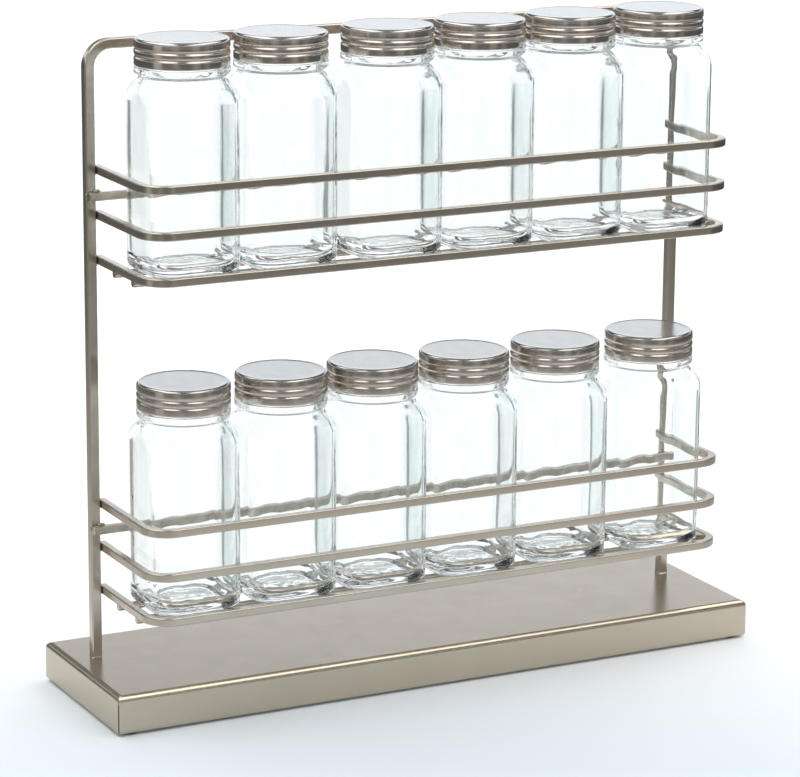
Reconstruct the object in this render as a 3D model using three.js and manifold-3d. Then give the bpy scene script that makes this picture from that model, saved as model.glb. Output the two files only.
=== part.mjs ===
// A free-standing two-tier rack for spice jars. A folded sheet-metal base carries a hoop of square bar.
// Two baskets of square bar hang on the front of the hoop, and each holds a row of square glass jars
// with screw lids. Millimetres, +Z up, the front faces -Y, and the origin is at the middle of the
// rack's footprint, on the surface it stands on.

import * as THREE from "three";
import { mergeVertices } from "three/addons/utils/BufferGeometryUtils.js";
import Module from "manifold-3d";

// Base: an inverted tray of folded sheet on thin rubber pads
const BASE_WIDTH = 350;
const BASE_DEPTH = 94;
const BASE_TOP = 20;
const FOOT_HEIGHT = 1;
const FOOT_RADIUS = 6;
const FOOT_INSET = 8;
const SHEET = 1.2;
const FOLD_RADIUS = 3;
const RETURN_FLANGE = 14;

// Hoop: one square bar bent into two posts and a top
const HOOP_HALF_WIDTH = 163.5;
const HOOP_TOP = 323;
const HOOP_BAR = 5;
const HOOP_BEND = 13.5;
const HOOP_Y = 15;
const HOOP_EDGE = 0.6;

// Baskets: three U-shaped rails each, a crossbar and two floor rods
const TIERS = [
  { name: "lower", bottomRail: 53.8, jarX: [-128.5, -77.5, -28.5, 22, 73.5, 128] },
  { name: "upper", bottomRail: 217.4, jarX: [-128, -77.5, -21.5, 28.5, 78.5, 129] },
];
const RAIL_NAMES = ["bottom", "middle", "top"];
const RAIL_BAR = 4;
const RAIL_PITCH = 21.7;
const RAIL_BEND = 14;
const RAIL_FRONT = -49.5;
const RAIL_EDGE = 0.5;
const CROSSBAR_ABOVE_MIDDLE_RAIL = 9.8;
const ROD_DIAMETER = 3.8;
const ROD_NAMES = { front: -30, back: -7.5 };
const JAR_FLOOR = -0.7; // where the jars stand, from the middle of the bottom rail

// Jars: square body, round neck, screw lid with a sealing disc inside
const JAR_Y = -20;
const JAR_HALF_WIDTH = 23;
const JAR_CORNER = 12;
const JAR_HEIGHT = 108;
const JAR_WALL = 2.8;
const JAR_FLOOR_THICKNESS = 5.5;
const NECK_RADIUS = 20.6;
const NECK_WALL = 3;
const BEAD_RADIUS = 22.7;
const LID_RADIUS = 22.5;
const LID_BOTTOM = 97.4;
const LID_TOP = 110;
const LID_SHEET = 0.5;
const DISC_THICKNESS = 1.2;

// Screws that hold the posts down, from inside the tray
const SCREW_RADIUS = 1.4;
const SCREW_DEPTH = 9;
const SCREW_HEAD = { radius: 2.8, height: 1.8 };
const WASHER = { radius: 4, height: 0.6 };

const JOINT_GAP = 0.3; // between welded neighbours
const REST_GAP = 0.1; // between pieces that stand on each other
const ROUND_SIDES = 24;

const wasm = await Module();
wasm.setup();

const satinNickel = metal(0xa8a296, 0.38);
const sheetSteel = metal(0xaaa69c, 0.35);
const lidSteel = metal(0xb4aca4, 0.3);
const zincSteel = metal(0xb9bcc0, 0.45);
const clearGlass = new THREE.MeshStandardMaterial({
  color: 0xeef4f2, roughness: 0.04, metalness: 0, transparent: true, opacity: 0.35,
});
const sealPlastic = new THREE.MeshStandardMaterial({ color: 0xe9e8e2, roughness: 0.6, metalness: 0 });
const blackRubber = new THREE.MeshStandardMaterial({ color: 0x232323, roughness: 0.85, metalness: 0 });

function metal(color, roughness) {
  return new THREE.MeshStandardMaterial({ color, roughness, metalness: 1 });
}

function part(name, geometry, material) {
  const mesh = new THREE.Mesh(geometry, material);
  mesh.name = name;
  return mesh;
}

// Joins a geometry's shared vertices and drops the triangles that this collapses, as at a lathe's axis.
function welded(geometry) {
  geometry.deleteAttribute("normal");
  geometry.deleteAttribute("uv");
  const merged = mergeVertices(geometry, 1e-4);
  const corners = merged.index.array;
  const kept = [];
  for (let i = 0; i < corners.length; i += 3) {
    const [a, b, c] = corners.slice(i, i + 3);
    if (a !== b && b !== c && c !== a) kept.push(a, b, c);
  }
  merged.setIndex(kept);
  merged.computeVertexNormals();
  return merged;
}

function solid(geometry) {
  const closed = welded(geometry);
  return new wasm.Manifold(new wasm.Mesh({
    numProp: 3,
    vertProperties: new Float32Array(closed.attributes.position.array),
    triVerts: new Uint32Array(closed.index.array),
  }));
}

function geometryOf(manifold) {
  const mesh = manifold.getMesh();
  const geometry = new THREE.BufferGeometry();
  geometry.setAttribute("position", new THREE.BufferAttribute(mesh.vertProperties, 3));
  geometry.setIndex(new THREE.BufferAttribute(mesh.triVerts, 1));
  geometry.computeVertexNormals();
  return geometry;
}

// A flat outline thickened along its own Z, from 0 to height, with its edges rounded.
function plate(outline, height, edge, edgeSteps, curveSegments = 3) {
  const geometry = new THREE.ExtrudeGeometry(outline, {
    depth: height - 2 * edge,
    bevelThickness: edge,
    bevelSize: edge,
    bevelOffset: -edge,
    bevelSegments: edgeSteps,
    curveSegments,
  });
  return geometry.translate(0, 0, edge);
}

function rectangle(width, depth) {
  return new THREE.Shape([
    new THREE.Vector2(-width / 2, -depth / 2),
    new THREE.Vector2(width / 2, -depth / 2),
    new THREE.Vector2(width / 2, depth / 2),
    new THREE.Vector2(-width / 2, depth / 2),
  ]);
}

// A block between two heights
function block(width, depth, low, high) {
  return new THREE.BoxGeometry(width, depth, high - low).translate(0, 0, (low + high) / 2);
}

// A cylinder standing on the height low
function post(radius, low, high, sides = ROUND_SIDES) {
  const geometry = new THREE.CylinderGeometry(radius, radius, high - low, sides);
  return geometry.rotateX(Math.PI / 2).translate(0, 0, (low + high) / 2);
}

// A solid of revolution about Z. The profile runs [radius, height] from the axis at the bottom,
// up the outside and back to the axis, or closes on itself.
function turned(profile, sides = ROUND_SIDES) {
  const points = profile.map(([radius, height]) => new THREE.Vector2(radius, height));
  return new THREE.LatheGeometry(points, sides).rotateX(Math.PI / 2);
}

// A U of bar seen flat: the closed side lies along v = 0 and both legs run to v = length.
function barU(halfWidth, length, bar, bend) {
  const quarter = Math.PI / 2;
  const arcX = halfWidth - bend;
  const shape = new THREE.Shape();
  shape.absarc(-arcX, bend, bend, 2 * quarter, 3 * quarter, false);
  shape.absarc(arcX, bend, bend, 3 * quarter, 4 * quarter, false);
  shape.lineTo(halfWidth, length);
  shape.lineTo(halfWidth - bar, length);
  shape.absarc(arcX, bend, bend - bar, 4 * quarter, 3 * quarter, true);
  shape.absarc(-arcX, bend, bend - bar, 3 * quarter, 2 * quarter, true);
  shape.lineTo(bar - halfWidth, length);
  shape.lineTo(-halfWidth, length);
  shape.closePath();
  return shape;
}

const postX = HOOP_HALF_WIDTH - HOOP_BAR / 2;
const postSides = { left: -postX, right: postX };

// A block with its top edges rounded, cut off flat at low
function foldedBlock(width, depth, low, high, fold) {
  const tall = plate(rectangle(width, depth), high - low + fold, fold, 3);
  return solid(tall.translate(0, 0, low - fold)).subtract(solid(block(width + 1, depth + 1, low - 2 * fold, low)));
}

function baseTray() {
  const floor = FOOT_HEIGHT + SHEET;
  const inside = foldedBlock(
    BASE_WIDTH - 2 * SHEET, BASE_DEPTH - 2 * SHEET, floor, BASE_TOP - SHEET, FOLD_RADIUS - SHEET,
  );
  const mouth = block(BASE_WIDTH - 2 * RETURN_FLANGE, BASE_DEPTH - 2 * RETURN_FLANGE, 0, floor + SHEET);
  let tray = foldedBlock(BASE_WIDTH, BASE_DEPTH, FOOT_HEIGHT, BASE_TOP, FOLD_RADIUS);
  tray = tray.subtract(inside).subtract(solid(mouth));
  for (const x of Object.values(postSides)) {
    const hole = post(SCREW_RADIUS + JOINT_GAP, BASE_TOP - 2 * SHEET, BASE_TOP + SHEET);
    tray = tray.subtract(solid(hole.translate(x, HOOP_Y, 0)));
  }
  return part("base_tray", geometryOf(tray), sheetSteel);
}

function feet() {
  const group = new THREE.Group();
  for (const [front, y] of [["front", -1], ["back", 1]]) {
    for (const [side, x] of [["left", -1], ["right", 1]]) {
      const foot = part(`foot_${front}_${side}`, welded(post(FOOT_RADIUS, 0, FOOT_HEIGHT - REST_GAP)), blackRubber);
      foot.position.set(x * (BASE_WIDTH / 2 - FOOT_INSET), y * (BASE_DEPTH / 2 - FOOT_INSET), 0);
      group.add(foot);
    }
  }
  return group;
}

function hoop() {
  const low = BASE_TOP + REST_GAP;
  const bent = plate(barU(HOOP_HALF_WIDTH, HOOP_TOP - low, HOOP_BAR, HOOP_BEND), HOOP_BAR, HOOP_EDGE, 1);
  bent.rotateX(-Math.PI / 2).translate(0, HOOP_Y - HOOP_BAR / 2, HOOP_TOP);
  let frame = solid(bent);
  for (const x of Object.values(postSides)) {
    const bore = post(SCREW_RADIUS + JOINT_GAP, low - 1, low + SCREW_DEPTH + 1);
    frame = frame.subtract(solid(bore.translate(x, HOOP_Y, 0)));
  }
  return part("hoop_frame", geometryOf(frame), satinNickel);
}

// A screw and its washer under each post, inside the tray
function postFixings() {
  const group = new THREE.Group();
  const sheetUnderside = BASE_TOP - SHEET;
  const washerTop = sheetUnderside - REST_GAP;
  const seat = washerTop - WASHER.height - REST_GAP;
  const socket = post(SCREW_HEAD.radius / 2, seat - SCREW_HEAD.height - 1, seat - SCREW_HEAD.height / 2, 6);
  for (const [side, x] of Object.entries(postSides)) {
    const blank = turned([
      [0, seat - SCREW_HEAD.height],
      [SCREW_HEAD.radius, seat - SCREW_HEAD.height],
      [SCREW_HEAD.radius, seat],
      [SCREW_RADIUS, seat],
      [SCREW_RADIUS, BASE_TOP + SCREW_DEPTH],
      [0, BASE_TOP + SCREW_DEPTH],
    ]);
    const screw = part(`post_screw_${side}`, geometryOf(solid(blank).subtract(solid(socket.clone()))), zincSteel);
    const ring = turned([
      [SCREW_RADIUS + JOINT_GAP, washerTop - WASHER.height],
      [WASHER.radius, washerTop - WASHER.height],
      [WASHER.radius, washerTop],
      [SCREW_RADIUS + JOINT_GAP, washerTop],
      [SCREW_RADIUS + JOINT_GAP, washerTop - WASHER.height],
    ]);
    const washer = part(`post_washer_${side}`, welded(ring), zincSteel);
    for (const piece of [screw, washer]) {
      piece.position.set(x, HOOP_Y, 0);
      group.add(piece);
    }
  }
  return group;
}

const railHalfWidth = HOOP_HALF_WIDTH - HOOP_BAR - JOINT_GAP;
const railBack = HOOP_Y + HOOP_BAR / 2;
const rodAxisHeight = JAR_FLOOR - REST_GAP - ROD_DIAMETER / 2;

function floorRod(radius, length) {
  return new THREE.CylinderGeometry(radius, radius, length, 16).rotateZ(Math.PI / 2);
}

// One rail of a basket: its front run, two bends and two arms that reach back beside the posts.
// The bottom rail's arms are notched for the floor rods.
function rail(tierName, index) {
  const outline = barU(railHalfWidth, railBack - RAIL_FRONT, RAIL_BAR, RAIL_BEND);
  const bent = plate(outline, RAIL_BAR, RAIL_EDGE, 1).translate(0, RAIL_FRONT, -RAIL_BAR / 2);
  let bar = solid(bent);
  if (index === 0) {
    for (const y of Object.values(ROD_NAMES)) {
      const notch = floorRod(ROD_DIAMETER / 2 + JOINT_GAP, 2 * railHalfWidth + 2);
      bar = bar.subtract(solid(notch.translate(0, y, rodAxisHeight)));
    }
  }
  const mesh = part(`${tierName}_rail_${RAIL_NAMES[index]}`, geometryOf(bar), satinNickel);
  mesh.position.z = index * RAIL_PITCH;
  return mesh;
}

function crossbar(tierName) {
  const bar = welded(plate(rectangle(2 * HOOP_HALF_WIDTH, RAIL_BAR), RAIL_BAR, RAIL_EDGE, 1));
  const mesh = part(`${tierName}_crossbar`, bar, satinNickel);
  const y = HOOP_Y - HOOP_BAR / 2 - JOINT_GAP - RAIL_BAR / 2;
  mesh.position.set(0, y, RAIL_PITCH + CROSSBAR_ABOVE_MIDDLE_RAIL - RAIL_BAR / 2);
  return mesh;
}

// How far a square with round corners reaches at an angle, as a share of its half width
function squareReach(angle, corner) {
  const quarter = Math.PI / 2;
  const turn = ((angle % quarter) + quarter) % quarter;
  const fold = Math.min(turn, quarter - turn);
  const flat = 1 - corner;
  if (Math.tan(fold) <= flat) return 1 / Math.cos(fold);
  const sum = Math.cos(fold) + Math.sin(fold);
  const difference = Math.cos(fold) - Math.sin(fold);
  return flat * sum + Math.sqrt(corner * corner - flat * flat * difference * difference);
}

// Revolves a profile of [radius, height, squareness] and pulls each ring from round, at squareness 0,
// to a square with round corners, at 1.
function squaredTurning(profile, corner) {
  const geometry = turned(profile);
  const position = geometry.attributes.position;
  for (let i = 0; i < position.count; i += 1) {
    const squareness = profile[i % profile.length][2];
    const reach = squareReach(Math.atan2(position.getY(i), position.getX(i)), corner);
    const stretch = 1 + squareness * (reach - 1);
    position.setXY(i, position.getX(i) * stretch, position.getY(i) * stretch);
  }
  return geometry;
}

const HEEL = 4;
const SHOULDER_START = 85.8;
const SHOULDER_END = 92.4;

function jarGlass() {
  const inside = JAR_HALF_WIDTH - JAR_WALL;
  const bore = NECK_RADIUS - NECK_WALL;
  return squaredTurning([
    [0, 0, 1],
    [JAR_HALF_WIDTH - 0.7 * HEEL, 0, 1],
    [JAR_HALF_WIDTH, HEEL, 1],
    [JAR_HALF_WIDTH, SHOULDER_START, 1],
    [JAR_HALF_WIDTH - 0.8, SHOULDER_START + 4, 0.6],
    [NECK_RADIUS, SHOULDER_END, 0],
    [BEAD_RADIUS, SHOULDER_END + 1.8, 0],
    [BEAD_RADIUS, LID_BOTTOM - 1, 0],
    [NECK_RADIUS, LID_BOTTOM - 0.4, 0],
    [NECK_RADIUS, JAR_HEIGHT, 0],
    [bore, JAR_HEIGHT, 0],
    [bore, SHOULDER_END - 1, 0],
    [inside, SHOULDER_START - 1, 1],
    [inside, JAR_FLOOR_THICKNESS + HEEL, 1],
    [inside - HEEL, JAR_FLOOR_THICKNESS, 1],
    [0, JAR_FLOOR_THICKNESS, 1],
  ], JAR_CORNER / JAR_HALF_WIDTH);
}

function lidShell() {
  const rim = 0.5;
  return turned([
    [0, LID_TOP - LID_SHEET],
    [LID_RADIUS - LID_SHEET, LID_TOP - LID_SHEET],
    [LID_RADIUS - LID_SHEET, LID_BOTTOM],
    [LID_RADIUS, LID_BOTTOM],
    [LID_RADIUS, LID_TOP - rim],
    [LID_RADIUS - rim, LID_TOP],
    [0, LID_TOP],
  ]);
}

function sealDisc() {
  const low = JAR_HEIGHT + REST_GAP;
  return post(LID_RADIUS - LID_SHEET - JOINT_GAP, low, low + DISC_THICKNESS);
}

// A jar with its lid and sealing disc, standing at the group's own height 0
function closedJar(tierName, number) {
  const group = new THREE.Group();
  group.add(part(`${tierName}_jar_${number}`, welded(jarGlass()), clearGlass));
  group.add(part(`${tierName}_disc_${number}`, welded(sealDisc()), sealPlastic));
  group.add(part(`${tierName}_lid_${number}`, welded(lidShell()), lidSteel));
  return group;
}

// A basket with its row of jars, at the height of its bottom rail
function tier({ name, bottomRail, jarX }) {
  const group = new THREE.Group();
  RAIL_NAMES.forEach((_, index) => group.add(rail(name, index)));
  group.add(crossbar(name));
  for (const [place, y] of Object.entries(ROD_NAMES)) {
    const rod = part(`${name}_floor_rod_${place}`, welded(floorRod(ROD_DIAMETER / 2, 2 * railHalfWidth)), satinNickel);
    rod.position.set(0, y, rodAxisHeight);
    group.add(rod);
  }
  jarX.forEach((x, index) => {
    const jar = closedJar(name, index + 1);
    jar.position.set(x, JAR_Y, JAR_FLOOR);
    group.add(jar);
  });
  group.position.z = bottomRail;
  return group;
}

const rack = new THREE.Group();
rack.add(baseTray(), feet(), hoop(), postFixings(), ...TIERS.map(tier));
// The rails stand out past the front of the base, so the base sits back from the middle of the footprint.
rack.position.y = -(RAIL_FRONT + BASE_DEPTH / 2) / 2;

const spiceRack = new THREE.Group();
spiceRack.add(rack);

export default spiceRack;
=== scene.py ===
"""A free-standing two-tier spice jar rack: the visual model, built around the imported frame.

Everything is in metres, in the frame's own axes: +Z up, the front faces -Y. Profiles of jars and
lids are written in millimetres and scaled when their meshes are made.
"""

import math

import bpy
from mathutils import Matrix, Vector, noise


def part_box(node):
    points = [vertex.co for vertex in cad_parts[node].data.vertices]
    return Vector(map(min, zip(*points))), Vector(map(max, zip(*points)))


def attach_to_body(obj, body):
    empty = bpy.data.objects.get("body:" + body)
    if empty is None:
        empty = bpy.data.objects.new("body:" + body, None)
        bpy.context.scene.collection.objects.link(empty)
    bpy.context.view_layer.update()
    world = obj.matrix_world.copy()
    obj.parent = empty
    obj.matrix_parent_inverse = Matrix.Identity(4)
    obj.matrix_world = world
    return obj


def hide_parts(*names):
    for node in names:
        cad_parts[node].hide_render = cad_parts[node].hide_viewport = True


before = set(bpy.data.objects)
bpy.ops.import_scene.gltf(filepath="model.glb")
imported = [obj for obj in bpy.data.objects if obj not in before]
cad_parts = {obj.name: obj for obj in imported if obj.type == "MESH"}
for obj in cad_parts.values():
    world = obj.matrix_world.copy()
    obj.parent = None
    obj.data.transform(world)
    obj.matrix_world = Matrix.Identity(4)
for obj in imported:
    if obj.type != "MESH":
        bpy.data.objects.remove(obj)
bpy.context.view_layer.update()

MM = 0.001
QUARTER = math.pi / 2
ALL_SMOOTH = 180
TIERS = ("lower", "upper")
JAR_NUMBERS = range(1, 7)
RAILS = ("bottom", "middle", "top")
SIDES = (("left", -1), ("right", 1))

# Camera: degrees to the right of +Y, below level and rolled
VIEW_TURN = 27.166
VIEW_DOWN = 14.094
VIEW_ROLL = 0.459
CAMERA_PLACE = (-0.7563, -1.4667, 0.5554)
LENS = 154.2

# Bars: bend radii at the outside of the bend, and the round along their edges
HOOP_BEND = 13.5 * MM
HOOP_EDGE = 0.8 * MM
RAIL_BEND = 14 * MM
RAIL_EDGE = 0.6 * MM
EDGE_STEPS = 4
BEND_STEPS = 14
ROD_SIDES = 32
# A bar's eased end: how far out along the ease, and how far the section is drawn in there, both as
# shares of the ease
END_STEPS = ((1, 0.35), (0.4, 0.12), (0, 0))
HOOP_END_EASE = 0.3 * MM
RAIL_END_EASE = 0.4 * MM
ROD_END_EASE = 0.5 * MM

# Welds: (half length, half depth, half height) of each bead, and the fillet round a post's foot as
# (reach from the post, height) in millimetres
BEAD_OVER_CROSSBAR = (1.9 * MM, 1.0 * MM, 1.0 * MM)
BEAD_UNDER_CROSSBAR = (1.9 * MM, 0.9 * MM, 0.9 * MM)
BEAD_AT_CROSSBAR_END = (0.45 * MM, 0.6 * MM, 1.5 * MM)
BEAD_AT_RAIL = (0.7 * MM, 1.8 * MM, 0.6 * MM)
FOOT_FILLET = ((0.55, 0), (0.3, 0.08), (0.12, 0.22), (0.03, 0.5), (-0.3, 0.5), (-0.3, 0))

# Base tray
SHEET = 1.2 * MM
FOLD_RADIUS = 3 * MM
FOLD_STEPS = 10
HEM_RADIUS = 1.4 * MM
HEM_STEPS = 5
RETURN_FLANGE = 14 * MM
INNER_EASE = 0.3 * MM
SEAM_DEPTH = 0.9 * MM
SEAM_WIDTH = 0.16 * MM
TRAY_CORNER = 0.9 * MM
# One half of a corner seen from above, in corner radii: (along the side, inwards)
CORNER_STEPS = ((4, 0), (1, 0), (0.45, 0.06))
CORNER_SEAM_EDGE = 0.17
CORNER_MIDDLE = 0.25

# Rubber feet: the hollow underneath as (share of the radius, height in millimetres)
FOOT_HOLLOW = ((0, 0.12), (0.3, 0.1), (0.62, 0.05), (0.7, 0))
FOOT_EASE = 0.25 * MM
FOOT_SIDES = 48

# Jars, in millimetres: thicknesses, the radii of neck, bead and bore, and the round of the lip
JAR_SIDES = 176
JAR_WALL = 2.6
JAR_FLOOR = 3.3
JAR_NECK = 20.5
JAR_BEAD = 22.6
JAR_BORE = 17.9
JAR_LIP = 0.9
# Outside corner radius as a share of the half width, and how square the inside is (2 is a circle)
JAR_CORNER_SHARE = 12 / 23
JAR_INNER_POWER = 5
# Below these heights the glass is uneven up and down, above them in and out
UNDERSIDE_TOP = 1.3
INNER_FLOOR_TOP = 5.5

# Lids, in millimetres. The band below the top has the top's finish.
LID_SIDES = 120
LID_SHEET = 0.5
LID_CURL = 0.5
LID_RIM = 1.5
LID_GROOVES = (4.3, 7.7)
GROOVE_DEPTH = 0.5
GROOVE_HALF = 1.2
GROOVE_STEPS = 12
GROOVE_SLANT = 0.3
LID_TOP_BAND = 1.4

# Sealing discs
DISC_SIDES = 64
DISC_EASE = 0.2 * MM
DISC_DENT = 0.15 * MM

# Dark cards for the metal to reflect: (first angle, last angle, shade on the floor, shade of the
# standing card), angles in degrees to the right of straight ahead from the camera
SECTORS = (
    (20, 112, 0.10, 0.14),
    (112, 124, 0.34, 0.20),
    (124, 138, 0.14, 0.12),
    (138, 155, 0.36, 0.40),
    (155, 186, 0.18, 0.15),
    (186, 200, 0.34, 0.36),
    (200, 226, 0.22, 0.18),
    (226, 246, 0.55, 0.65),
    (246, 340, 0.15, 0.10),
)
SECTOR_STEPS = 16
SECTOR_NEAR = 0.25
SECTOR_FULL_SHADE = 1.05
SECTOR_FAR = 2.2
SECTOR_HEIGHT = 0.6

# The room the glass and the metal see
WHITE = (0.56, 0.565, 0.57)
GREY = (0.135, 0.15, 0.148)
STUDIO_STRENGTH = 2.15
# By the upward part of a direction
SKY_STOPS = (
    (0.0, (0.58, 0.61, 0.65)), (0.28, (0.60, 0.63, 0.67)), (0.42, (0.36, 0.37, 0.38)),
    (0.72, (0.28, 0.28, 0.28)), (1.0, (0.16, 0.16, 0.16)),
)
# By how nearly a direction runs straight ahead from the camera
BESIDE_STOPS = (
    (0, WHITE), (0.44, WHITE), (0.58, GREY), (0.80, GREY), (0.875, WHITE), (1, WHITE),
)
# A darker spot: degrees to the right of straight ahead, then by how nearly a direction runs
# towards it
SPOT_TURN = 126
SPOT_STOPS = ((0.92, (1, 1, 1)), (0.96, (0.25, 0.25, 0.25)))
# How much of the grey shows, by the downward part of a direction
GREY_STOPS = ((0, 0), (0.09, 0), (0.13, 1), (0.34, 1), (0.38, 0), (1, 0))

# Level lights: (name, ahead of the rack and to its right as the camera sees it, height, width,
# length, watts)
LIGHTS = (
    ("left_light", 0, -0.78, 1.6, 0.9, 1.5, 11),
    ("right_light", 0, 0.78, 1.6, 0.9, 1.5, 11),
    ("floor_light", 2.5, 0, 2, 3, 3, 36),
)
LIGHT_BOUNCES = 32


# ---------------------------------------------------------------- mesh helpers

def make_mesh(name, vertices, faces, material, smooth_angle=40):
    """A new object from plain lists, smooth except where faces meet at more than the angle."""
    mesh = bpy.data.meshes.new(name)
    mesh.from_pydata(vertices, [], faces)
    mesh.validate()
    mesh.update()
    mesh.shade_smooth()
    mesh.set_sharp_from_angle(angle=math.radians(smooth_angle))
    piece = bpy.data.objects.new(name, mesh)
    bpy.context.collection.objects.link(piece)
    mesh.materials.append(material)
    return piece


def flatten_normals(piece):
    """Keeps the large flat faces flat in the shading beside their rounded edges."""
    modifier = piece.modifiers.new("flat_faces", "WEIGHTED_NORMAL")
    modifier.keep_sharp = True
    modifier.weight = 90


def attach(piece, body, slot, *nodes):
    """Puts a piece on its body, in place of the CAD nodes that are named. The slot is not used."""
    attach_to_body(piece, body)
    if nodes:
        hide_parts(*nodes)
    return piece


def foot_of(low, high):
    """The middle of a box's underside"""
    return ((low.x + high.x) / 2, (low.y + high.y) / 2, low.z)


def ring_faces(rings, around, closed_ends=True):
    """Faces of a tube whose rings of vertices follow each other in one list."""
    faces = []
    for ring in range(rings - 1):
        for k in range(around):
            a = ring * around + k
            b = ring * around + (k + 1) % around
            faces.append((a, b, b + around, a + around))
    if closed_ends:
        faces.append(tuple(reversed(range(around))))
        faces.append(tuple((rings - 1) * around + k for k in range(around)))
    return faces


def pointed_faces(rings, around):
    """Faces of a closed shape whose rings of vertices lie between a first and a last point."""
    faces = [tuple(1 + i for i in face) for face in ring_faces(rings, around, closed_ends=False)]
    last = rings * around + 1
    for k in range(around):
        after = (k + 1) % around
        faces.append((0, 1 + after, 1 + k))
        faces.append((last, last - around + k, last - around + after))
    return faces


def rounded_square(size, radius):
    """Points round a square section with round corners, anticlockwise."""
    flat = size / 2 - radius
    points = []
    for quarter in range(4):
        middle = (quarter + 0.5) * QUARTER
        centre = Vector((math.copysign(flat, math.cos(middle)),
                         math.copysign(flat, math.sin(middle))))
        for step in range(EDGE_STEPS + 1):
            angle = (quarter + step / EDGE_STEPS) * QUARTER
            points.append(centre + radius * Vector((math.cos(angle), math.sin(angle))))
    return points


def circle(radius, sides):
    angles = (2 * math.pi * k / sides for k in range(sides))
    return [radius * Vector((math.cos(a), math.sin(a))) for a in angles]


def swept_bar(name, path, up, section, ease, material):
    """A bar whose section follows a path of (point, direction) in the plane across up. Its ends
    are eased."""
    first_point, first_way = path[0]
    last_point, last_way = path[-1]
    stations = [(first_point + first_way * (ease - out * ease), first_way, drawn_in)
                for out, drawn_in in END_STEPS]
    stations += [(point, way, 0) for point, way in path[1:-1]]
    stations += [(last_point - last_way * (ease - out * ease), last_way, drawn_in)
                 for out, drawn_in in reversed(END_STEPS)]
    half = max(point.length for point in section)
    vertices = []
    for point, way, drawn_in in stations:
        side = way.cross(up)
        scale = 1 - drawn_in * ease / half
        vertices += [point + side * (scale * u) + up * (scale * v) for u, v in section]
    return make_mesh(name, vertices, ring_faces(len(stations), len(section)), material)


def bent_path(corners, bend):
    """(point, direction) along straight runs joined by arcs of the centre line's bend radius."""
    path = [(corners[0], (corners[1] - corners[0]).normalized())]
    for before, corner, after in zip(corners, corners[1:], corners[2:]):
        way_in = (corner - before).normalized()
        way_out = (after - corner).normalized()
        for step in range(BEND_STEPS + 1):
            angle = QUARTER * step / BEND_STEPS
            back = math.sin(angle) - 1
            on = 1 - math.cos(angle)
            point = corner + bend * (way_in * back + way_out * on)
            path.append((point, way_in * math.cos(angle) + way_out * math.sin(angle)))
    path.append((corners[-1], (corners[-1] - corners[-2]).normalized()))
    return path


def turned(name, profile, sides, material, smooth_angle=40):
    """A solid of revolution about Z from (radius, height) pairs that start and end on the axis."""
    inner = profile[1:-1]
    vertices = [Vector((0, 0, profile[0][1]))]
    for radius, height in inner:
        vertices += [Vector((p.x, p.y, height)) for p in circle(radius, sides)]
    vertices.append(Vector((0, 0, profile[-1][1])))
    return make_mesh(name, vertices, pointed_faces(len(inner), sides), material, smooth_angle)


# ---------------------------------------------------------------- materials

def new_material(name):
    material = bpy.data.materials.new(name)
    material.use_nodes = True
    nodes = material.node_tree.nodes
    return material, nodes, material.node_tree.links, nodes["Principled BSDF"]


def noise_of(nodes, links, scale, detail=4.0, stretch=(1, 1, 1)):
    """A noise texture on the piece's own coordinates, its scale in features to the metre."""
    place = nodes.new("ShaderNodeTexCoord")
    mapping = nodes.new("ShaderNodeMapping")
    mapping.inputs["Scale"].default_value = stretch
    texture = nodes.new("ShaderNodeTexNoise")
    texture.inputs["Scale"].default_value = scale
    texture.inputs["Detail"].default_value = detail
    links.new(place.outputs["Object"], mapping.inputs["Vector"])
    links.new(mapping.outputs["Vector"], texture.inputs["Vector"])
    return texture.outputs["Fac"]


def ramp(nodes, links, factor, *stops):
    """A colour ramp over (position, (r, g, b)) stops."""
    node = nodes.new("ShaderNodeValToRGB")
    elements = node.color_ramp.elements
    while len(elements) < len(stops):
        elements.new(0.5)
    for element, (position, colour) in zip(elements, stops):
        element.position = position
        element.color = (*colour, 1)
    links.new(factor, node.inputs["Fac"])
    return node.outputs["Color"]


def spread(nodes, links, factor, low, high, source=(0.3, 0.7)):
    """Maps a source range, by default a texture's usual one, onto low to high."""
    node = nodes.new("ShaderNodeMapRange")
    node.inputs["From Min"].default_value = source[0]
    node.inputs["From Max"].default_value = source[1]
    node.inputs["To Min"].default_value = low
    node.inputs["To Max"].default_value = high
    links.new(factor, node.inputs["Value"])
    return node.outputs["Result"]


def bump(nodes, links, height, distance, shader, below=None):
    node = nodes.new("ShaderNodeBump")
    node.inputs["Distance"].default_value = distance
    links.new(height, node.inputs["Height"])
    if below is not None:
        links.new(below, node.inputs["Normal"])
    links.new(node.outputs["Normal"], shader.inputs["Normal"])
    return node.outputs["Normal"]


def satin_metal(name, dark, light, roughness, grain):
    """Plated or blasted metal: a faint mottling, uneven roughness and a fine matt grain."""
    mottle_scale, smear_scale, grain_depth = 35, 90, 0.0015 * MM
    whole_range = (0.1, 0.9)
    material, nodes, links, shader = new_material(name)
    shader.inputs["Metallic"].default_value = 1
    mottle = noise_of(nodes, links, mottle_scale, detail=1)
    colour = ramp(nodes, links, mottle, (whole_range[0], dark), (whole_range[1], light))
    links.new(colour, shader.inputs["Base Color"])
    smear = noise_of(nodes, links, smear_scale, detail=1, stretch=(1, 1, 2.5))
    uneven = spread(nodes, links, smear, *roughness, source=whole_range)
    links.new(uneven, shader.inputs["Roughness"])
    bump(nodes, links, noise_of(nodes, links, grain, detail=0), grain_depth, shader)
    return material


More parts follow.
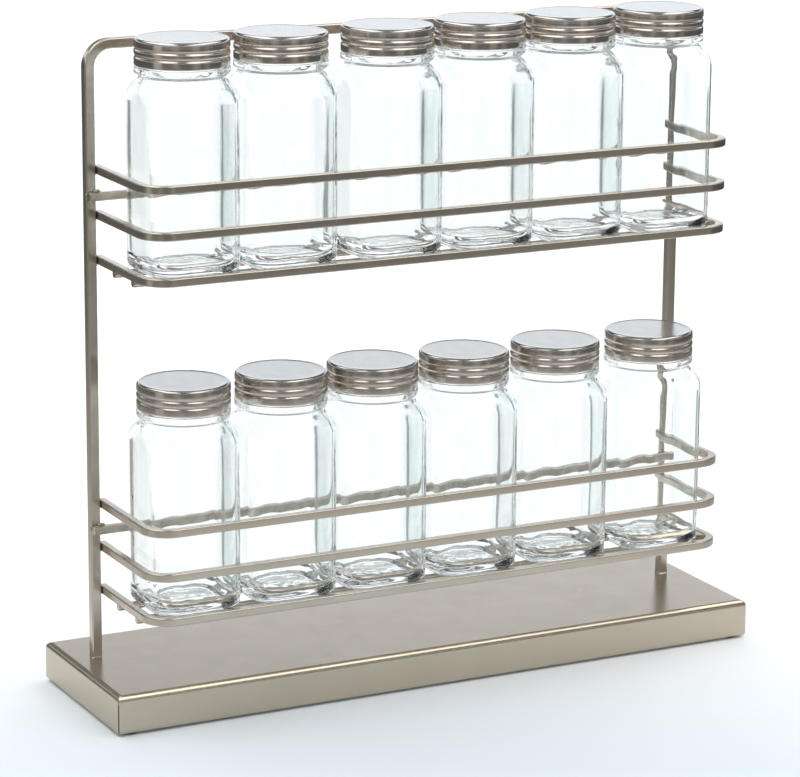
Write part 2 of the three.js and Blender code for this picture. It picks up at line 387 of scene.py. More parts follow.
def turning_lines(nodes, links):
    """A noise that is the same all round the piece's Z axis, as fine lines left by a lathe"""
    lines_scale = 3000
    place = nodes.new("ShaderNodeTexCoord")
    split = nodes.new("ShaderNodeSeparateXYZ")
    links.new(place.outputs["Object"], split.inputs["Vector"])
    flat = nodes.new("ShaderNodeCombineXYZ")
    links.new(split.outputs["X"], flat.inputs["X"])
    links.new(split.outputs["Y"], flat.inputs["Y"])
    reach = nodes.new("ShaderNodeVectorMath")
    reach.operation = "LENGTH"
    links.new(flat.outputs["Vector"], reach.inputs[0])
    turn = nodes.new("ShaderNodeCombineXYZ")
    links.new(reach.outputs["Value"], turn.inputs["X"])
    links.new(split.outputs["Z"], turn.inputs["Z"])
    lines = nodes.new("ShaderNodeTexNoise")
    lines.inputs["Scale"].default_value = lines_scale
    lines.inputs["Detail"].default_value = 5
    links.new(turn.outputs["Vector"], lines.inputs["Vector"])
    return lines.outputs["Fac"]


def brushed_metal(name, dark, light, roughness, streak):
    """Spun steel: fine lines that follow the turning, with reflections drawn out across them."""
    cloud_scale, wave_scale = 120, 140
    line_depth, wave_depth = 0.008 * MM, 0.02 * MM
    material, nodes, links, shader = new_material(name)
    shader.inputs["Metallic"].default_value = 1
    shader.inputs["Anisotropic"].default_value = streak
    shader.inputs["Anisotropic Rotation"].default_value = 0.25
    around = nodes.new("ShaderNodeTangent")
    around.direction_type = "RADIAL"
    around.axis = "Z"
    links.new(around.outputs["Tangent"], shader.inputs["Tangent"])
    lines = turning_lines(nodes, links)
    cloud = noise_of(nodes, links, cloud_scale)
    colour = ramp(nodes, links, cloud, (0.3, dark), (0.7, light))
    links.new(colour, shader.inputs["Base Color"])
    links.new(spread(nodes, links, lines, *roughness), shader.inputs["Roughness"])
    fine = bump(nodes, links, lines, line_depth, shader)
    wave = noise_of(nodes, links, wave_scale, detail=2)
    bump(nodes, links, wave, wave_depth, shader, below=fine)
    return material


def clear_glass():
    """Pressed soda-lime glass: clear, very slightly wavy, with a trace of green."""
    tint_scale, haze_scale, wave_scale = 60, 300, 70
    haze, wave_depth = (0.0, 0.02), 0.25 * MM
    material, nodes, links, shader = new_material("jar_glass")
    shader.inputs["Transmission Weight"].default_value = 1
    shader.inputs["IOR"].default_value = 1.5
    cloud = noise_of(nodes, links, tint_scale, detail=2)
    tint = ramp(nodes, links, cloud, (0.2, (0.938, 0.963, 0.960)), (0.8, (0.952, 0.973, 0.972)))
    links.new(tint, shader.inputs["Base Color"])
    haze_noise = noise_of(nodes, links, haze_scale)
    links.new(spread(nodes, links, haze_noise, *haze), shader.inputs["Roughness"])
    wave = noise_of(nodes, links, wave_scale, detail=1, stretch=(1, 1, 0.5))
    bump(nodes, links, wave, wave_depth, shader)
    return material


def plain_plastic(name, dark, light, roughness, grain):
    """Foamed plastic or rubber: a fine grain and slightly uneven colour."""
    cloud_scale, grain_depth = 400, 0.03 * MM
    material, nodes, links, shader = new_material(name)
    cloud = noise_of(nodes, links, cloud_scale)
    colour = ramp(nodes, links, cloud, (0.3, dark), (0.7, light))
    links.new(colour, shader.inputs["Base Color"])
    links.new(spread(nodes, links, cloud, *roughness), shader.inputs["Roughness"])
    bump(nodes, links, noise_of(nodes, links, grain), grain_depth, shader)
    return material


# Each metal and plastic: its darker and lighter colour, its range of roughness, then its grain in
# features to the metre or, for the lids, how far reflections are drawn out
NICKEL = satin_metal(
    "satin_nickel_bar", (0.495, 0.450, 0.385), (0.555, 0.504, 0.433), (0.21, 0.28), 1600)
TRAY_METAL = satin_metal(
    "satin_nickel_sheet", (0.50, 0.44, 0.35), (0.54, 0.475, 0.38), (0.23, 0.28), 1600)
WELD_METAL = satin_metal(
    "plated_weld", (0.36, 0.31, 0.22), (0.50, 0.45, 0.36), (0.2, 0.42), 1200)
ZINC = satin_metal(
    "zinc_plating", (0.55, 0.56, 0.58), (0.66, 0.67, 0.68), (0.3, 0.45), 1500)
LID_SKIRT = brushed_metal(
    "brushed_steel_skirt", (0.50, 0.455, 0.41), (0.57, 0.52, 0.47), (0.18, 0.25), 0.5)
LID_TOP = brushed_metal(
    "satin_steel_top", (0.41, 0.40, 0.38), (0.45, 0.44, 0.42), (0.15, 0.21), 0)
GLASS = clear_glass()
SEAL = plain_plastic(
    "seal_foam", (0.74, 0.74, 0.70), (0.82, 0.82, 0.79), (0.5, 0.65), 1500)
RUBBER = plain_plastic(
    "foot_rubber", (0.015, 0.015, 0.015), (0.035, 0.035, 0.035), (0.7, 0.9), 900)


# ---------------------------------------------------------------- base tray

def half_corner(tip, side, inward):
    """Points from along one side to the edge of the slot at a corner"""
    edge = CORNER_SEAM_EDGE * TRAY_CORNER
    points = [tip + side * along * TRAY_CORNER + inward * within * TRAY_CORNER
              for along, within in CORNER_STEPS]
    return points + [tip + side * (edge + SEAM_WIDTH) + inward * edge]


def tray_ring(inset, height, outer, seam):
    """One level of the tray: a rectangle inset from its outline, with a slot of the seam's depth
    at each corner, where the folded sides meet."""
    half_x, half_y, middle_y = outer
    points = []
    for sx, sy in ((1, 1), (-1, 1), (-1, -1), (1, -1)):
        tip = Vector((sx * (half_x - inset), middle_y + sy * (half_y - inset), height))
        along_x, along_y = Vector((-sx, 0, 0)), Vector((0, -sy, 0))
        first, second = (along_y, along_x) if sx * sy > 0 else (along_x, along_y)
        inward = along_x + along_y
        points += half_corner(tip, first, inward)
        points.append(tip + inward * (CORNER_MIDDLE * TRAY_CORNER + seam))
        points += reversed(half_corner(tip, second, inward))
    return points


def tray_levels(low_z, high_z):
    """(inset, height, seam depth) down the outside of the tray, under its flange and up inside"""
    levels = []
    for step in range(FOLD_STEPS + 1):
        angle = QUARTER * (1 - step / FOLD_STEPS)
        inset = FOLD_RADIUS * (1 - math.cos(angle))
        levels.append((inset, high_z - FOLD_RADIUS * (1 - math.sin(angle)), 0))
    fold_end = high_z - FOLD_RADIUS
    levels += [(0, fold_end - 0.4 * MM, 0), (0, fold_end - 0.8 * MM, SEAM_DEPTH)]
    levels += [(0, low_z + 2 * HEM_RADIUS, SEAM_DEPTH), (0, low_z + HEM_RADIUS, SEAM_DEPTH)]
    for step in range(1, HEM_STEPS + 1):
        angle = QUARTER * step / HEM_STEPS
        inset = HEM_RADIUS * (1 - math.cos(angle))
        levels.append((inset, low_z + HEM_RADIUS * (1 - math.sin(angle)), SEAM_DEPTH))
    levels += [(RETURN_FLANGE, low_z, 0), (RETURN_FLANGE, low_z + SHEET, 0)]
    levels += [(SHEET + INNER_EASE, low_z + SHEET, 0), (SHEET, low_z + SHEET + INNER_EASE, 0)]
    levels += [(SHEET, fold_end, 0), (FOLD_RADIUS, high_z - SHEET, 0)]
    return levels


def base_tray():
    low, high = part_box("base_tray")
    outer = ((high.x - low.x) / 2, (high.y - low.y) / 2, (high.y + low.y) / 2)
    levels = tray_levels(low.z, high.z)
    vertices = []
    for inset, height, seam in levels:
        vertices += tray_ring(inset, height, outer, seam)
    around = len(vertices) // len(levels)
    faces = [tuple(reversed(face)) for face in ring_faces(len(levels), around)]
    tray = make_mesh("base_tray_folded", vertices, faces, TRAY_METAL)
    flatten_normals(tray)
    attach(tray, "rack", "sheet_steel", "base_tray")


def foot(node):
    low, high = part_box(node)
    radius = (high.x - low.x) / 2
    height = high.z - low.z
    top_ease = 0.1 * MM
    profile = [(share * radius, hollow * MM) for share, hollow in FOOT_HOLLOW]
    profile += [(radius - FOOT_EASE, 0), (radius - 0.3 * FOOT_EASE, 0.3 * FOOT_EASE)]
    profile += [(radius, FOOT_EASE), (radius, height - top_ease)]
    profile += [(radius - top_ease, height), (0, height)]
    pad = turned(f"{node}_pad", profile, FOOT_SIDES, RUBBER)
    pad.location = foot_of(low, high)
    attach(pad, "rack", "rubber", node)


# ---------------------------------------------------------------- bars, rods and welds

def hoop():
    low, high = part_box("hoop_frame")
    bar = high.y - low.y
    y = (low.y + high.y) / 2
    left, right, top = low.x + bar / 2, high.x - bar / 2, high.z - bar / 2
    corners = [Vector((left, y, low.z)), Vector((left, y, top)),
               Vector((right, y, top)), Vector((right, y, low.z))]
    path = bent_path(corners, HOOP_BEND - bar / 2)
    section = rounded_square(bar, HOOP_EDGE)
    piece = swept_bar("hoop_bar", path, Vector((0, 1, 0)), section, HOOP_END_EASE, NICKEL)
    flatten_normals(piece)
    attach(piece, "rack", "satin_nickel", "hoop_frame")


def rail(node):
    low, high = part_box(node)
    bar = high.z - low.z
    z = (low.z + high.z) / 2
    left, right, front = low.x + bar / 2, high.x - bar / 2, low.y + bar / 2
    corners = [Vector((left, high.y, z)), Vector((left, front, z)),
               Vector((right, front, z)), Vector((right, high.y, z))]
    path = bent_path(corners, RAIL_BEND - bar / 2)
    section = rounded_square(bar, RAIL_EDGE)
    piece = swept_bar(f"{node}_bar", path, Vector((0, 0, 1)), section, RAIL_END_EASE, NICKEL)
    flatten_normals(piece)
    attach(piece, "rack", "satin_nickel", node)


def straight_bar(node, section_of):
    """A bar along X with the section that section_of gives for its thickness."""
    low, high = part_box(node)
    middle = (low + high) / 2
    way = Vector((1, 0, 0))
    path = [(Vector((x, middle.y, middle.z)), way) for x in (low.x, middle.x, high.x)]
    section = section_of(high.z - low.z)
    piece = swept_bar(f"{node}_bar", path, Vector((0, 0, 1)), section, ROD_END_EASE, NICKEL)
    flatten_normals(piece)
    attach(piece, "rack", "satin_nickel", node)


def weld_bead(name, centre, size):
    """A small uneven run of weld metal: an egg shape with its surface pushed in and out. Its
    centre, scaled up, makes each bead's noise its own."""
    around, rows = 20, 12
    ball = [Vector((0, 0, -1))]
    for row in range(1, rows):
        tilt = math.pi * row / rows
        ball += [Vector((p.x, p.y, -math.cos(tilt))) for p in circle(math.sin(tilt), around)]
    ball.append(Vector((0, 0, 1)))
    vertices = []
    for v in ball:
        coarse = noise.noise(v * 1.6 + centre * 900)
        fine = noise.noise(v * 4 + centre * 500)
        lump = 1 + 0.28 * coarse + 0.1 * fine
        vertices.append(Vector((v.x * size[0], v.y * size[1], v.z * size[2])) * lump)
    bead = make_mesh(name, vertices, pointed_faces(rows - 1, around), WELD_METAL, ALL_SMOOTH)
    bead.location = centre
    attach(bead, "rack", "satin_nickel")


def crossbar_welds(tier, side, sign, inner_face, outer_face, front):
    """The beads over, under and at the end of a crossbar where it meets a post"""
    low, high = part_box(f"{tier}_crossbar")
    name = f"{tier}_crossbar_weld_{side}"
    weld_bead(f"{name}_top", Vector((inner_face, front - 0.5 * MM, high.z)), BEAD_OVER_CROSSBAR)
    weld_bead(f"{name}_under", Vector((inner_face + sign * 2 * MM, front, low.z)),
              BEAD_UNDER_CROSSBAR)
    weld_bead(f"{name}_end", Vector((outer_face, front, (low.z + high.z) / 2)),
              BEAD_AT_CROSSBAR_END)


def rail_welds(tier, rail_name, side, inner_face, y):
    """The beads over and under a rail's end where it meets a post"""
    low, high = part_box(f"{tier}_rail_{rail_name}")
    for edge, z in (("top", high.z), ("under", low.z)):
        weld_bead(f"{tier}_rail_{rail_name}_weld_{side}_{edge}", Vector((inner_face, y, z)),
                  BEAD_AT_RAIL)


def welds():
    low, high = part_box("hoop_frame")
    post = high.y - low.y
    y = (low.y + high.y) / 2
    for side, sign in SIDES:
        inner_face = sign * (high.x - post)
        for tier in TIERS:
            crossbar_welds(tier, side, sign, inner_face, sign * high.x, low.y)
            for rail_name in RAILS:
                rail_welds(tier, rail_name, side, inner_face, y)


def post_foot(side, sign):
    """The fillet of plated weld round a post's foot"""
    low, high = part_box("hoop_frame")
    post = high.y - low.y
    floor_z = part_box("base_tray")[1].z
    vertices = []
    for reach, height in FOOT_FILLET:
        ring = rounded_square(post + 2 * reach * MM, HOOP_EDGE + max(reach, 0) * MM)
        vertices += [Vector((p.x, p.y, height * MM)) for p in ring]
    rows = len(FOOT_FILLET)
    around = len(vertices) // rows
    faces = []
    for row in range(rows):
        after = (row + 1) % rows
        for k in range(around):
            k2 = (k + 1) % around
            faces.append((row * around + k, row * around + k2,
                          after * around + k2, after * around + k))
    fillet = make_mesh(f"post_foot_fillet_{side}", vertices, faces, NICKEL)
    fillet.location = Vector((sign * (high.x - post / 2), (low.y + high.y) / 2, floor_z))
    attach(fillet, "rack", "satin_nickel")


def post_fixing(side):
    """The screw and washer under a post, seen only from below, get zinc on their CAD shape"""
    for kind in ("screw", "washer"):
        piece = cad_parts[f"post_{kind}_{side}"]
        for index in range(max(1, len(piece.material_slots))):
            piece.data.materials[index] = ZINC


# ---------------------------------------------------------------- profile curves

def arc(centre, radius, start, end, steps):
    """(radius, height) points on an arc in the profile plane, its angles in degrees."""
    points = []
    for k in range(steps + 1):
        angle = math.radians(start + (end - start) * k / steps)
        points.append((centre[0] + radius * math.cos(angle),
                       centre[1] + radius * math.sin(angle)))
    return points


def smooth_curve(a, b, c, d, steps):
    """Points on a cubic Bezier curve."""
    points = []
    for k in range(steps + 1):
        t = k / steps
        weights = ((1 - t) ** 3, 3 * t * (1 - t) ** 2, 3 * t * t * (1 - t), t ** 3)
        points.append(tuple(sum(w * p[i] for w, p in zip(weights, (a, b, c, d)))
                            for i in range(2)))
    return points


def with_squareness(points, squareness):
    """Adds to each profile point how square the jar is there: 1 square, 0 round."""
    return [(radius, height, squareness) for radius, height in points]


def squared_until(points, start, end):
    """Adds each point's squareness, which eases from 1 at the start height to 0 at the end."""
    result = []
    for radius, height in points:
        share = min(1.0, max(0.0, (height - start) / (end - start)))
        result.append((radius, height, 0.5 + 0.5 * math.cos(math.pi * share)))
    return result


# ---------------------------------------------------------------- jars

def square_reach(angle):
    """How far a square with round corners reaches at an angle, as a share of its half width."""
    turn = angle % QUARTER
    fold = min(turn, QUARTER - turn)
    flat = 1 - JAR_CORNER_SHARE
    if math.tan(fold) <= flat:
        return 1 / math.cos(fold)
    total = math.cos(fold) + math.sin(fold)
    difference = math.cos(fold) - math.sin(fold)
    return flat * total + math.sqrt(JAR_CORNER_SHARE * JAR_CORNER_SHARE
                                    - (flat * difference) ** 2)


def oval_reach(angle):
    """How far a square with bulging sides and soft corners reaches at an angle, as a share of its
    half width."""
    power = JAR_INNER_POWER
    return (abs(math.cos(angle)) ** power + abs(math.sin(angle)) ** power) ** (-1 / power)


def jar_outside(half, height):
    """(radius, height, squareness) up the outside: underside, heel, wall, shoulder, bead, neck and
    lip"""
    heel = 4.0
    rest_edge = half - heel - 1.5
    push_up = 1.0
    shoulder_start, shoulder_end = 82, 92.2
    radii = (rest_edge * k / 14 for k in range(15))
    profile = [(r, push_up * (1 - (r / rest_edge) ** 2), 1) for r in radii]
    profile += with_squareness(arc((half - heel, heel), heel, -90, 0, 8), 1)
    shoulder = [(half, z) for z in (10, 20, 35, 50, 65, 74, 79, 82, 83, 84, 85)]
    shoulder += smooth_curve((half, 86), (half, 90.6), (JAR_NECK + 0.4, 89.6),
                             (JAR_NECK, shoulder_end), 14)
    profile += squared_until(shoulder, shoulder_start, shoulder_end)
    profile += with_squareness(arc((JAR_BEAD - 1.2, 94.2), 1.2, -80, 0, 5), 0)
    profile += with_squareness(arc((JAR_BEAD - 0.5, 96.2), 0.5, 0, 90, 4), 0)
    profile += [(JAR_NECK + 0.2, 96.9, 0), (JAR_NECK, 97.4, 0), (JAR_NECK, height - JAR_LIP, 0)]
    lip = arc((JAR_NECK - JAR_LIP, height - JAR_LIP), JAR_LIP, 0, 90, 4)
    return profile + with_squareness(lip, 0)


def jar_inside(half, height):
    """(radius, height, squareness) down the inside: lip, bore, shoulder, wall and pressed floor"""
    wall = half - JAR_WALL
    shoulder_start, shoulder_end = 80, 91.5
    floor_edge = wall - 7.5
    floor_rise = 0.7
    lip = arc((JAR_BORE + JAR_LIP, height - JAR_LIP), JAR_LIP, 90, 180, 4)
    profile = with_squareness(lip, 0)
    profile += [(JAR_BORE, 98, 0), (JAR_BORE, 93.5, 0)]
    cavity = smooth_curve((JAR_BORE, shoulder_end), (JAR_BORE + 0.2, 88.4), (wall, 88.6),
                          (wall, 84), 14)
    cavity += [(wall, z) for z in (83, 82, 81, 80, 60, 45, 30, 20, 13)]
    profile += squared_until(cavity, shoulder_start, shoulder_end)
    heel = smooth_curve((wall, 9.5), (wall, 5.4), (wall - 3, JAR_FLOOR + 0.2),
                        (floor_edge, JAR_FLOOR), 14)
    profile += with_squareness(heel, 1)
    shares = (k / 13 for k in range(1, 14))
    profile += [(floor_edge * (1 - s), JAR_FLOOR + floor_rise * s ** 0.7, 1) for s in shares]
    return profile


def jar_wobble(point, is_inside, is_level):
    """The unevenness of pressed glass, in millimetres: long waves in the walls, small ripples in
    the floor"""
    if is_level:
        broad = noise.noise(Vector((point.x * 0.22, point.y * 0.22, 2.0)))
        ripple = broad + 0.4 * noise.noise(point * 0.5)
        return (0.2 if is_inside else 0.1) * ripple
    return (0.16 if is_inside else 0.03) * noise.noise(point * 0.07 + Vector((3, 1, 7)))


def jar_point(radius, height, squareness, angle, is_inside, offset):
    """One point of the glass, with its unevenness, in millimetres"""
    full = oval_reach(angle) if is_inside else square_reach(angle)
    reach = radius * (1 + squareness * (full - 1))
    point = Vector((reach * math.cos(angle), reach * math.sin(angle), height))
    is_level = height < (INNER_FLOOR_TOP if is_inside else UNDERSIDE_TOP)
    wobble = jar_wobble(point + offset, is_inside, is_level)
    if is_level:
        point.z = max(0.0, point.z + wobble)
    else:
        point.x += wobble * math.cos(angle)
        point.y += wobble * math.sin(angle)
    return point


def jar_mesh_lists(half, height, seed):
    """The jar's vertices and faces. The seed moves its unevenness, so that no two are alike."""
    outside, inside = jar_outside(half, height), jar_inside(half, height)
    rows = [(row, False) for row in outside + inside[:1]] + [(row, True) for row in inside[1:]]
    angles = [2 * math.pi * k / JAR_SIDES for k in range(JAR_SIDES)]
    offset = Vector((seed * 37.1, seed * 11.3, 0))
    vertices = []
    for (radius, z, squareness), is_inside in rows:
        for angle in (angles[:1] if radius == 0 else angles):
            point = jar_point(radius, z, squareness, angle, is_inside, offset)
            vertices.append(point * MM)
    return vertices, pointed_faces(len(rows) - 2, JAR_SIDES)


def jar(tier, number):
    node = f"{tier}_jar_{number}"
    low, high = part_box(node)
    half = (high.x - low.x) / 2 / MM
    height = (high.z - low.z) / MM
    seed = number + 10 * TIERS.index(tier)
    vertices, faces = jar_mesh_lists(half, height, seed)
    piece = make_mesh(f"{node}_glass", vertices, faces, GLASS, ALL_SMOOTH)
    piece.location = foot_of(low, high)
    piece.visible_shadow = False
    attach(piece, node, "clear_glass", node)


# ---------------------------------------------------------------- lids

def groove(radius, height):
    """A rolled line pressed into the skirt"""
    points = []
    for k in range(GROOVE_STEPS + 1):
        share = k / GROOVE_STEPS
        depth = GROOVE_DEPTH * math.sin(math.pi * share) ** 2
        points.append((radius - depth, height - GROOVE_HALF + 2 * GROOVE_HALF * share))
    return points


def lid_profile(radius, height):
    """(radius, height) down the inside, round the curled edge, up the skirt and across the top"""
    inner = radius - LID_SHEET
    dished = height - 0.12
    inside = [(0, height - 0.7), (inner - 1.4, height - 0.7), (inner - 0.4, height - 1.1),
              (inner, height - 1.9), (inner, 1.2), (radius - LID_CURL - 0.5, 0.75)]
    outside = arc((radius - LID_CURL, LID_CURL), LID_CURL, -170, 0, 9)
    outside += [(radius, 1.4), (radius, 2.4)]
    outside += groove(radius, LID_GROOVES[0])
    outside += [(radius - 0.02, 6.0)]
    outside += groove(radius, LID_GROOVES[1])
    outside += [(radius, 9.6), (radius - 0.04, 10.2), (radius - 0.1, height - LID_RIM - 0.3)]
    outside += arc((radius - LID_RIM - 0.1, height - LID_RIM), LID_RIM, 8, 90, 9)
    top = [(radius - LID_RIM - 0.6, height - 0.03), (radius - LID_RIM - 1.1, height - 0.1)]
    top += [(share * radius, dished) for share in (0.8, 0.6, 0.3, 0)]
    return inside + outside + top


def slant_grooves(piece, lean):
    """Tips the middle of the skirt a little to one side, as rolled lines are never quite level."""
    start, span = 1.6, 8.4
    for vertex in piece.data.vertices:
        along = min(1.0, max(0.0, (vertex.co.z / MM - start) / span))
        share = math.sin(math.pi * along)
        around = math.atan2(vertex.co.y, vertex.co.x)
        vertex.co.z += GROOVE_SLANT * MM * share * math.cos(around - lean)


def lid(tier, number):
    node = f"{tier}_lid_{number}"
    low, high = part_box(node)
    radius = (high.x - low.x) / 2 / MM
    height = (high.z - low.z) / MM
    profile = [(r * MM, z * MM) for r, z in lid_profile(radius, height)]
    piece = turned(f"{node}_shell", profile, LID_SIDES, LID_SKIRT, 50)
    piece.data.materials.append(LID_TOP)
    for face in piece.data.polygons:
        if face.center.z > (height - LID_TOP_BAND) * MM:
            face.material_index = 1
    slant_grooves(piece, number * 2.4 + TIERS.index(tier))
    piece.location = foot_of(low, high)
    attach(piece, node, "lid_steel", node)


def disc(tier, number):
    """The sealing disc inside a lid, with a shallow ring pressed into it"""
    node = f"{tier}_disc_{number}"
    low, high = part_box(node)
    radius = (high.x - low.x) / 2
    height = high.z - low.z
    profile = [(0, 0), (radius - 3.4 * MM, 0), (radius - 3 * MM, DISC_DENT)]
    profile += [(radius - 1.6 * MM, DISC_DENT), (radius - 1.2 * MM, 0)]
    profile += [(radius - DISC_EASE, 0), (radius, DISC_EASE)]
    profile += [(radius, height - DISC_EASE), (radius - DISC_EASE, height), (0, height)]
    piece = turned(f"{node}_seal", profile, DISC_SIDES, SEAL)
    piece.location = foot_of(low, high)
    attach(piece, node, "seal_plastic", node)


# ---------------------------------------------------------------- stage

def camera():
    data = bpy.data.cameras.new("camera")
    data.sensor_width = 36
    data.lens = LENS
    data.clip_start = 0.05
    data.clip_end = 50
    view = bpy.data.objects.new("camera", data)
    turn, down, roll = (math.radians(a) for a in (VIEW_TURN, VIEW_DOWN, VIEW_ROLL))
    view.rotation_euler = (
        Matrix.Rotation(-turn, 3, "Z")
        @ Matrix.Rotation(QUARTER - down, 3, "X")
        @ Matrix.Rotation(roll, 3, "Z")
    ).to_euler()
    view.location = CAMERA_PLACE
    bpy.context.collection.objects.link(view)
    bpy.context.scene.camera = view


def floor():
    """A pale sweep turned to face the camera, with painted shade: its colour is a little darker
    and bluer towards the camera
    """
    size = 20
    # front is painted shade, darker and bluer near the camera; back is the floor's own pale colour
    front, back = (0.73, 0.79, 0.83), (0.95, 0.955, 0.96)
    grain_scale, grain_depth = 200, 0.03 * MM
    material, nodes, links, shader = new_material("pale_floor_painted_shade")
    place = nodes.new("ShaderNodeTexCoord")
    split = nodes.new("ShaderNodeSeparateXYZ")
    links.new(place.outputs["Object"], split.inputs["Vector"])
    depth = spread(nodes, links, split.outputs["Y"], 0, 1, source=(-0.15, 0.06))
    links.new(ramp(nodes, links, depth, (0, front), (1, back)), shader.inputs["Base Color"])
    shader.inputs["Specular IOR Level"].default_value = 0
    bump(nodes, links, noise_of(nodes, links, grain_scale), grain_depth, shader)
    corners = [(-size, -size, 0), (size, -size, 0), (size, size, 0), (-size, size, 0)]
    sheet = make_mesh("floor", corners, [(0, 1, 2, 3)], material)
    sheet.rotation_euler = (0, 0, -math.radians(VIEW_TURN))
    sheet.visible_transmission = False


def glow(name, *stops, source=(-1, 1), strength=1.0):
    """A plain glowing surface whose colour follows the distance from its own origin."""
    material, nodes, links, shader = new_material(name)
    nodes.remove(shader)
    place = nodes.new("ShaderNodeTexCoord")
    reach = nodes.new("ShaderNodeVectorMath")
    reach.operation = "LENGTH"
    links.new(place.outputs["Object"], reach.inputs[0])
    emission = nodes.new("ShaderNodeEmission")
    emission.inputs["Strength"].default_value = strength
    along = spread(nodes, links, reach.outputs["Value"], 0, 1, source=source)
    links.new(ramp(nodes, links, along, *stops), emission.inputs["Color"])
    links.new(emission.outputs["Emission"], nodes["Material Output"].inputs["Surface"])
    return material


def even_glow(name, colour, strength=1.0):
    return glow(name, (0, colour), (1, colour), strength=strength)


def studio_card(name, corners, faces, material):
    """A photographer's card outside the picture, seen only in reflections"""
    card = make_mesh(name, corners, faces, material)
    card.visible_camera = False
    card.visible_diffuse = False
    card.visible_shadow = False
    card.visible_transmission = False
    return card


def dark_sector(name, first, last, floor_shade, wall_shade):
    """Dark card on the floor and standing behind it, between two angles to the right of straight
    ahead from the camera. The floor's part is light near the rack and darkens outwards."""
    lift = 0.001
    vertices = []
    for reach, height in ((SECTOR_NEAR, lift), (SECTOR_FAR, lift), (SECTOR_FAR, SECTOR_HEIGHT)):
        for step in range(SECTOR_STEPS + 1):
            turn = math.radians(VIEW_TURN + first + (last - first) * step / SECTOR_STEPS)
            vertices.append(Vector((math.sin(turn) * reach, math.cos(turn) * reach, height)))
    wide = SECTOR_STEPS + 1
    strip = [(k, k + 1, wide + k + 1, wide + k) for k in range(SECTOR_STEPS)]
    tone = Vector((1, 0.98, 0.95))
    halfway = 0.4 * tone + 0.4 * floor_shade * tone
    on_floor = glow(f"{name}_floor_shade", (0, 0.85 * tone), (0.35, halfway),
                    (1, floor_shade * tone), source=(SECTOR_NEAR, SECTOR_FULL_SHADE))
    on_wall = even_glow(f"{name}_wall_shade", wall_shade * tone)
    studio_card(f"{name}_floor", vertices[:2 * wide], strip, on_floor)
    studio_card(f"{name}_wall", vertices[wide:], strip, on_wall)


def lamp_panels():
    """A bright panel above to either side of the rack, turned to face the camera"""
    height, front, back = 1.6, -1.8, 1.2
    lamp = even_glow("lamp_shade", (1, 0.975, 0.94), strength=2.6)
    for name, left, right in (("left_lamp", -1.5, -0.33), ("right_lamp", 0.33, 1.5)):
        corners = [(left, front, height), (right, front, height),
                   (right, back, height), (left, back, height)]
        panel = studio_card(name, corners, [(0, 1, 2, 3)], lamp)
        panel.rotation_euler = (0, 0, -math.radians(VIEW_TURN))


def ceiling_card():
    """A dark band all round, between two heights above the horizon"""
    sides, reach, shade = 48, 6, 0.10
    vertices = []
    for tilt in (math.radians(21), math.radians(50)):
        ring = circle(reach * math.cos(tilt), sides)
        vertices += [Vector((p.x, p.y, reach * math.sin(tilt))) for p in ring]
    dark = even_glow("ceiling_shade", (shade, shade, shade))
    studio_card("ceiling_card", vertices, ring_faces(2, sides, closed_ends=False), dark)


def cards():
    """Everything that only reflections see"""
    for number, sector in enumerate(SECTORS):
        dark_sector(f"sector_{number}", *sector)
    lamp_panels()
    ceiling_card()


def level_direction(nodes, links, split):
    """The direction being looked in, without its upward part"""
    level = nodes.new("ShaderNodeCombineXYZ")
    links.new(split.outputs["X"], level.inputs["X"])
    links.new(split.outputs["Y"], level.inputs["Y"])
    unit = nodes.new("ShaderNodeVectorMath")
    unit.operation = "NORMALIZE"
    links.new(level.outputs["Vector"], unit.inputs[0])
    return unit.outputs["Vector"]


def closeness(nodes, links, direction, to_the_right):
    """How nearly a direction runs along one turned to the right of straight ahead: 1 is along
    it."""
    turn = math.radians(VIEW_TURN + to_the_right)
    product = nodes.new("ShaderNodeVectorMath")
    product.operation = "DOT_PRODUCT"
    product.inputs[1].default_value = (math.sin(turn), math.cos(turn), 0)
    links.new(direction, product.inputs[0])
    return product.outputs["Value"]


def colour_mix(nodes):
    node = nodes.new("ShaderNodeMix")
    node.data_type = "RGBA"
    return node


def room_below(nodes, links, split):
    """What the glass shows: white, with a grey stretch to either side of the view, which draws
    the edges of the glass."""
    direction = level_direction(nodes, links, split)
    beside = ramp(nodes, links, closeness(nodes, links, direction, 0), *BESIDE_STOPS)
    spot = ramp(nodes, links, closeness(nodes, links, direction, SPOT_TURN), *SPOT_STOPS)
    joined = colour_mix(nodes)
    joined.blend_type = "MULTIPLY"
    joined.inputs["Factor"].default_value = 1
    links.new(beside, joined.inputs["A"])
    links.new(spot, joined.inputs["B"])
    down = spread(nodes, links, split.outputs["Z"], 1, 0, source=(-1, 0))
    window = ramp(nodes, links, down, *((place, (share,) * 3) for place, share in GREY_STOPS))
    room = colour_mix(nodes)
    room.inputs["A"].default_value = (*WHITE, 1)
    links.new(window, room.inputs["Factor"])
    links.new(joined.outputs["Result"], room.inputs["B"])
    return room.outputs["Result"]


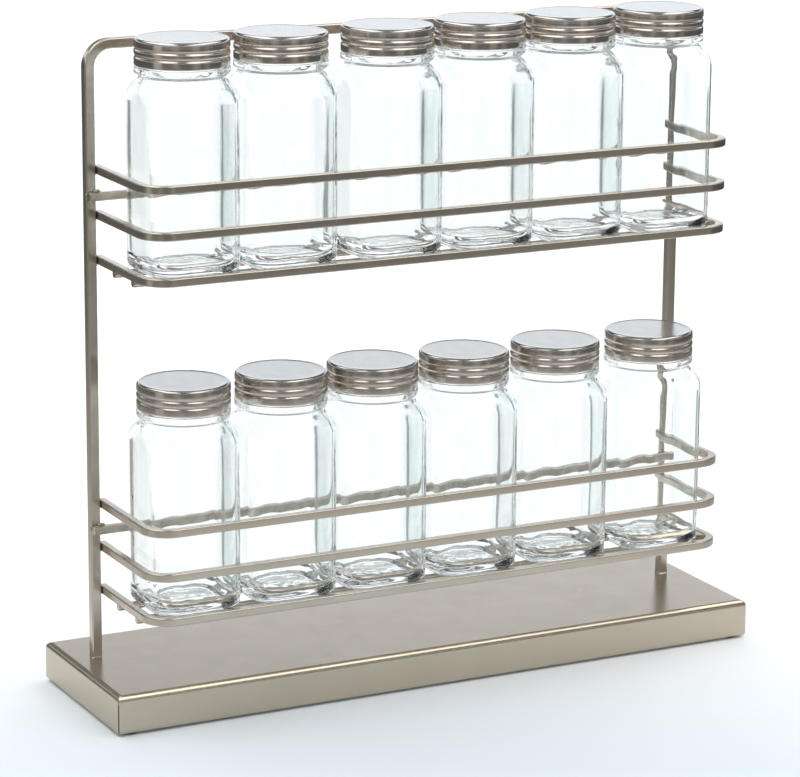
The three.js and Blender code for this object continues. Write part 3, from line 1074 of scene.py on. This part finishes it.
def studio():
    """The world: a room with a bright horizon and a darker ceiling, and what is below it."""
    world = bpy.data.worlds.new("studio")
    bpy.context.scene.world = world
    world.use_nodes = True
    nodes, links = world.node_tree.nodes, world.node_tree.links
    place = nodes.new("ShaderNodeTexCoord")
    split = nodes.new("ShaderNodeSeparateXYZ")
    links.new(place.outputs["Generated"], split.inputs["Vector"])
    up = split.outputs["Z"]
    sky = ramp(nodes, links, up, *SKY_STOPS)
    below = room_below(nodes, links, split)
    whole = colour_mix(nodes)
    horizon = spread(nodes, links, up, 0, 1, source=(-0.03, 0.0))
    links.new(horizon, whole.inputs["Factor"])
    links.new(below, whole.inputs["A"])
    links.new(sky, whole.inputs["B"])
    background = nodes["Background"]
    links.new(whole.outputs["Result"], background.inputs["Color"])
    background.inputs["Strength"].default_value = STUDIO_STRENGTH


def area_light(name, ahead, aside, height, width, length, power):
    """A rectangular light hung level, unseen in reflections"""
    turn = math.radians(VIEW_TURN)
    data = bpy.data.lights.new(name, "AREA")
    data.shape = "RECTANGLE"
    data.size = width
    data.size_y = length
    data.energy = power
    light = bpy.data.objects.new(name, data)
    x = ahead * math.sin(turn) + aside * math.cos(turn)
    y = ahead * math.cos(turn) - aside * math.sin(turn)
    light.location = (x, y, height)
    light.rotation_euler = (0, 0, -turn)
    light.visible_glossy = False
    light.visible_transmission = False
    bpy.context.collection.objects.link(light)


# ---------------------------------------------------------------- the object

camera()
floor()
cards()
studio()
for light_row in LIGHTS:
    area_light(*light_row)

base_tray()
for end_name in ("front", "back"):
    for side_name, _ in SIDES:
        foot(f"foot_{end_name}_{side_name}")
hoop()
for tier_name in TIERS:
    for rail_name in RAILS:
        rail(f"{tier_name}_rail_{rail_name}")
    straight_bar(f"{tier_name}_crossbar", lambda size: rounded_square(size, RAIL_EDGE))
    for place_name in ("front", "back"):
        rod = f"{tier_name}_floor_rod_{place_name}"
        straight_bar(rod, lambda size: circle(size / 2, ROD_SIDES))
welds()
for side_name, side_sign in SIDES:
    post_foot(side_name, side_sign)
    post_fixing(side_name)
for tier_name in TIERS:
    for jar_number in JAR_NUMBERS:
        jar(tier_name, jar_number)
        disc(tier_name, jar_number)
        lid(tier_name, jar_number)

bpy.context.scene.view_settings.view_transform = "Standard"
bpy.context.scene.cycles.max_bounces = LIGHT_BOUNCES
bpy.context.scene.cycles.transmission_bounces = LIGHT_BOUNCES
bpy.context.scene.cycles.glossy_bounces = LIGHT_BOUNCES
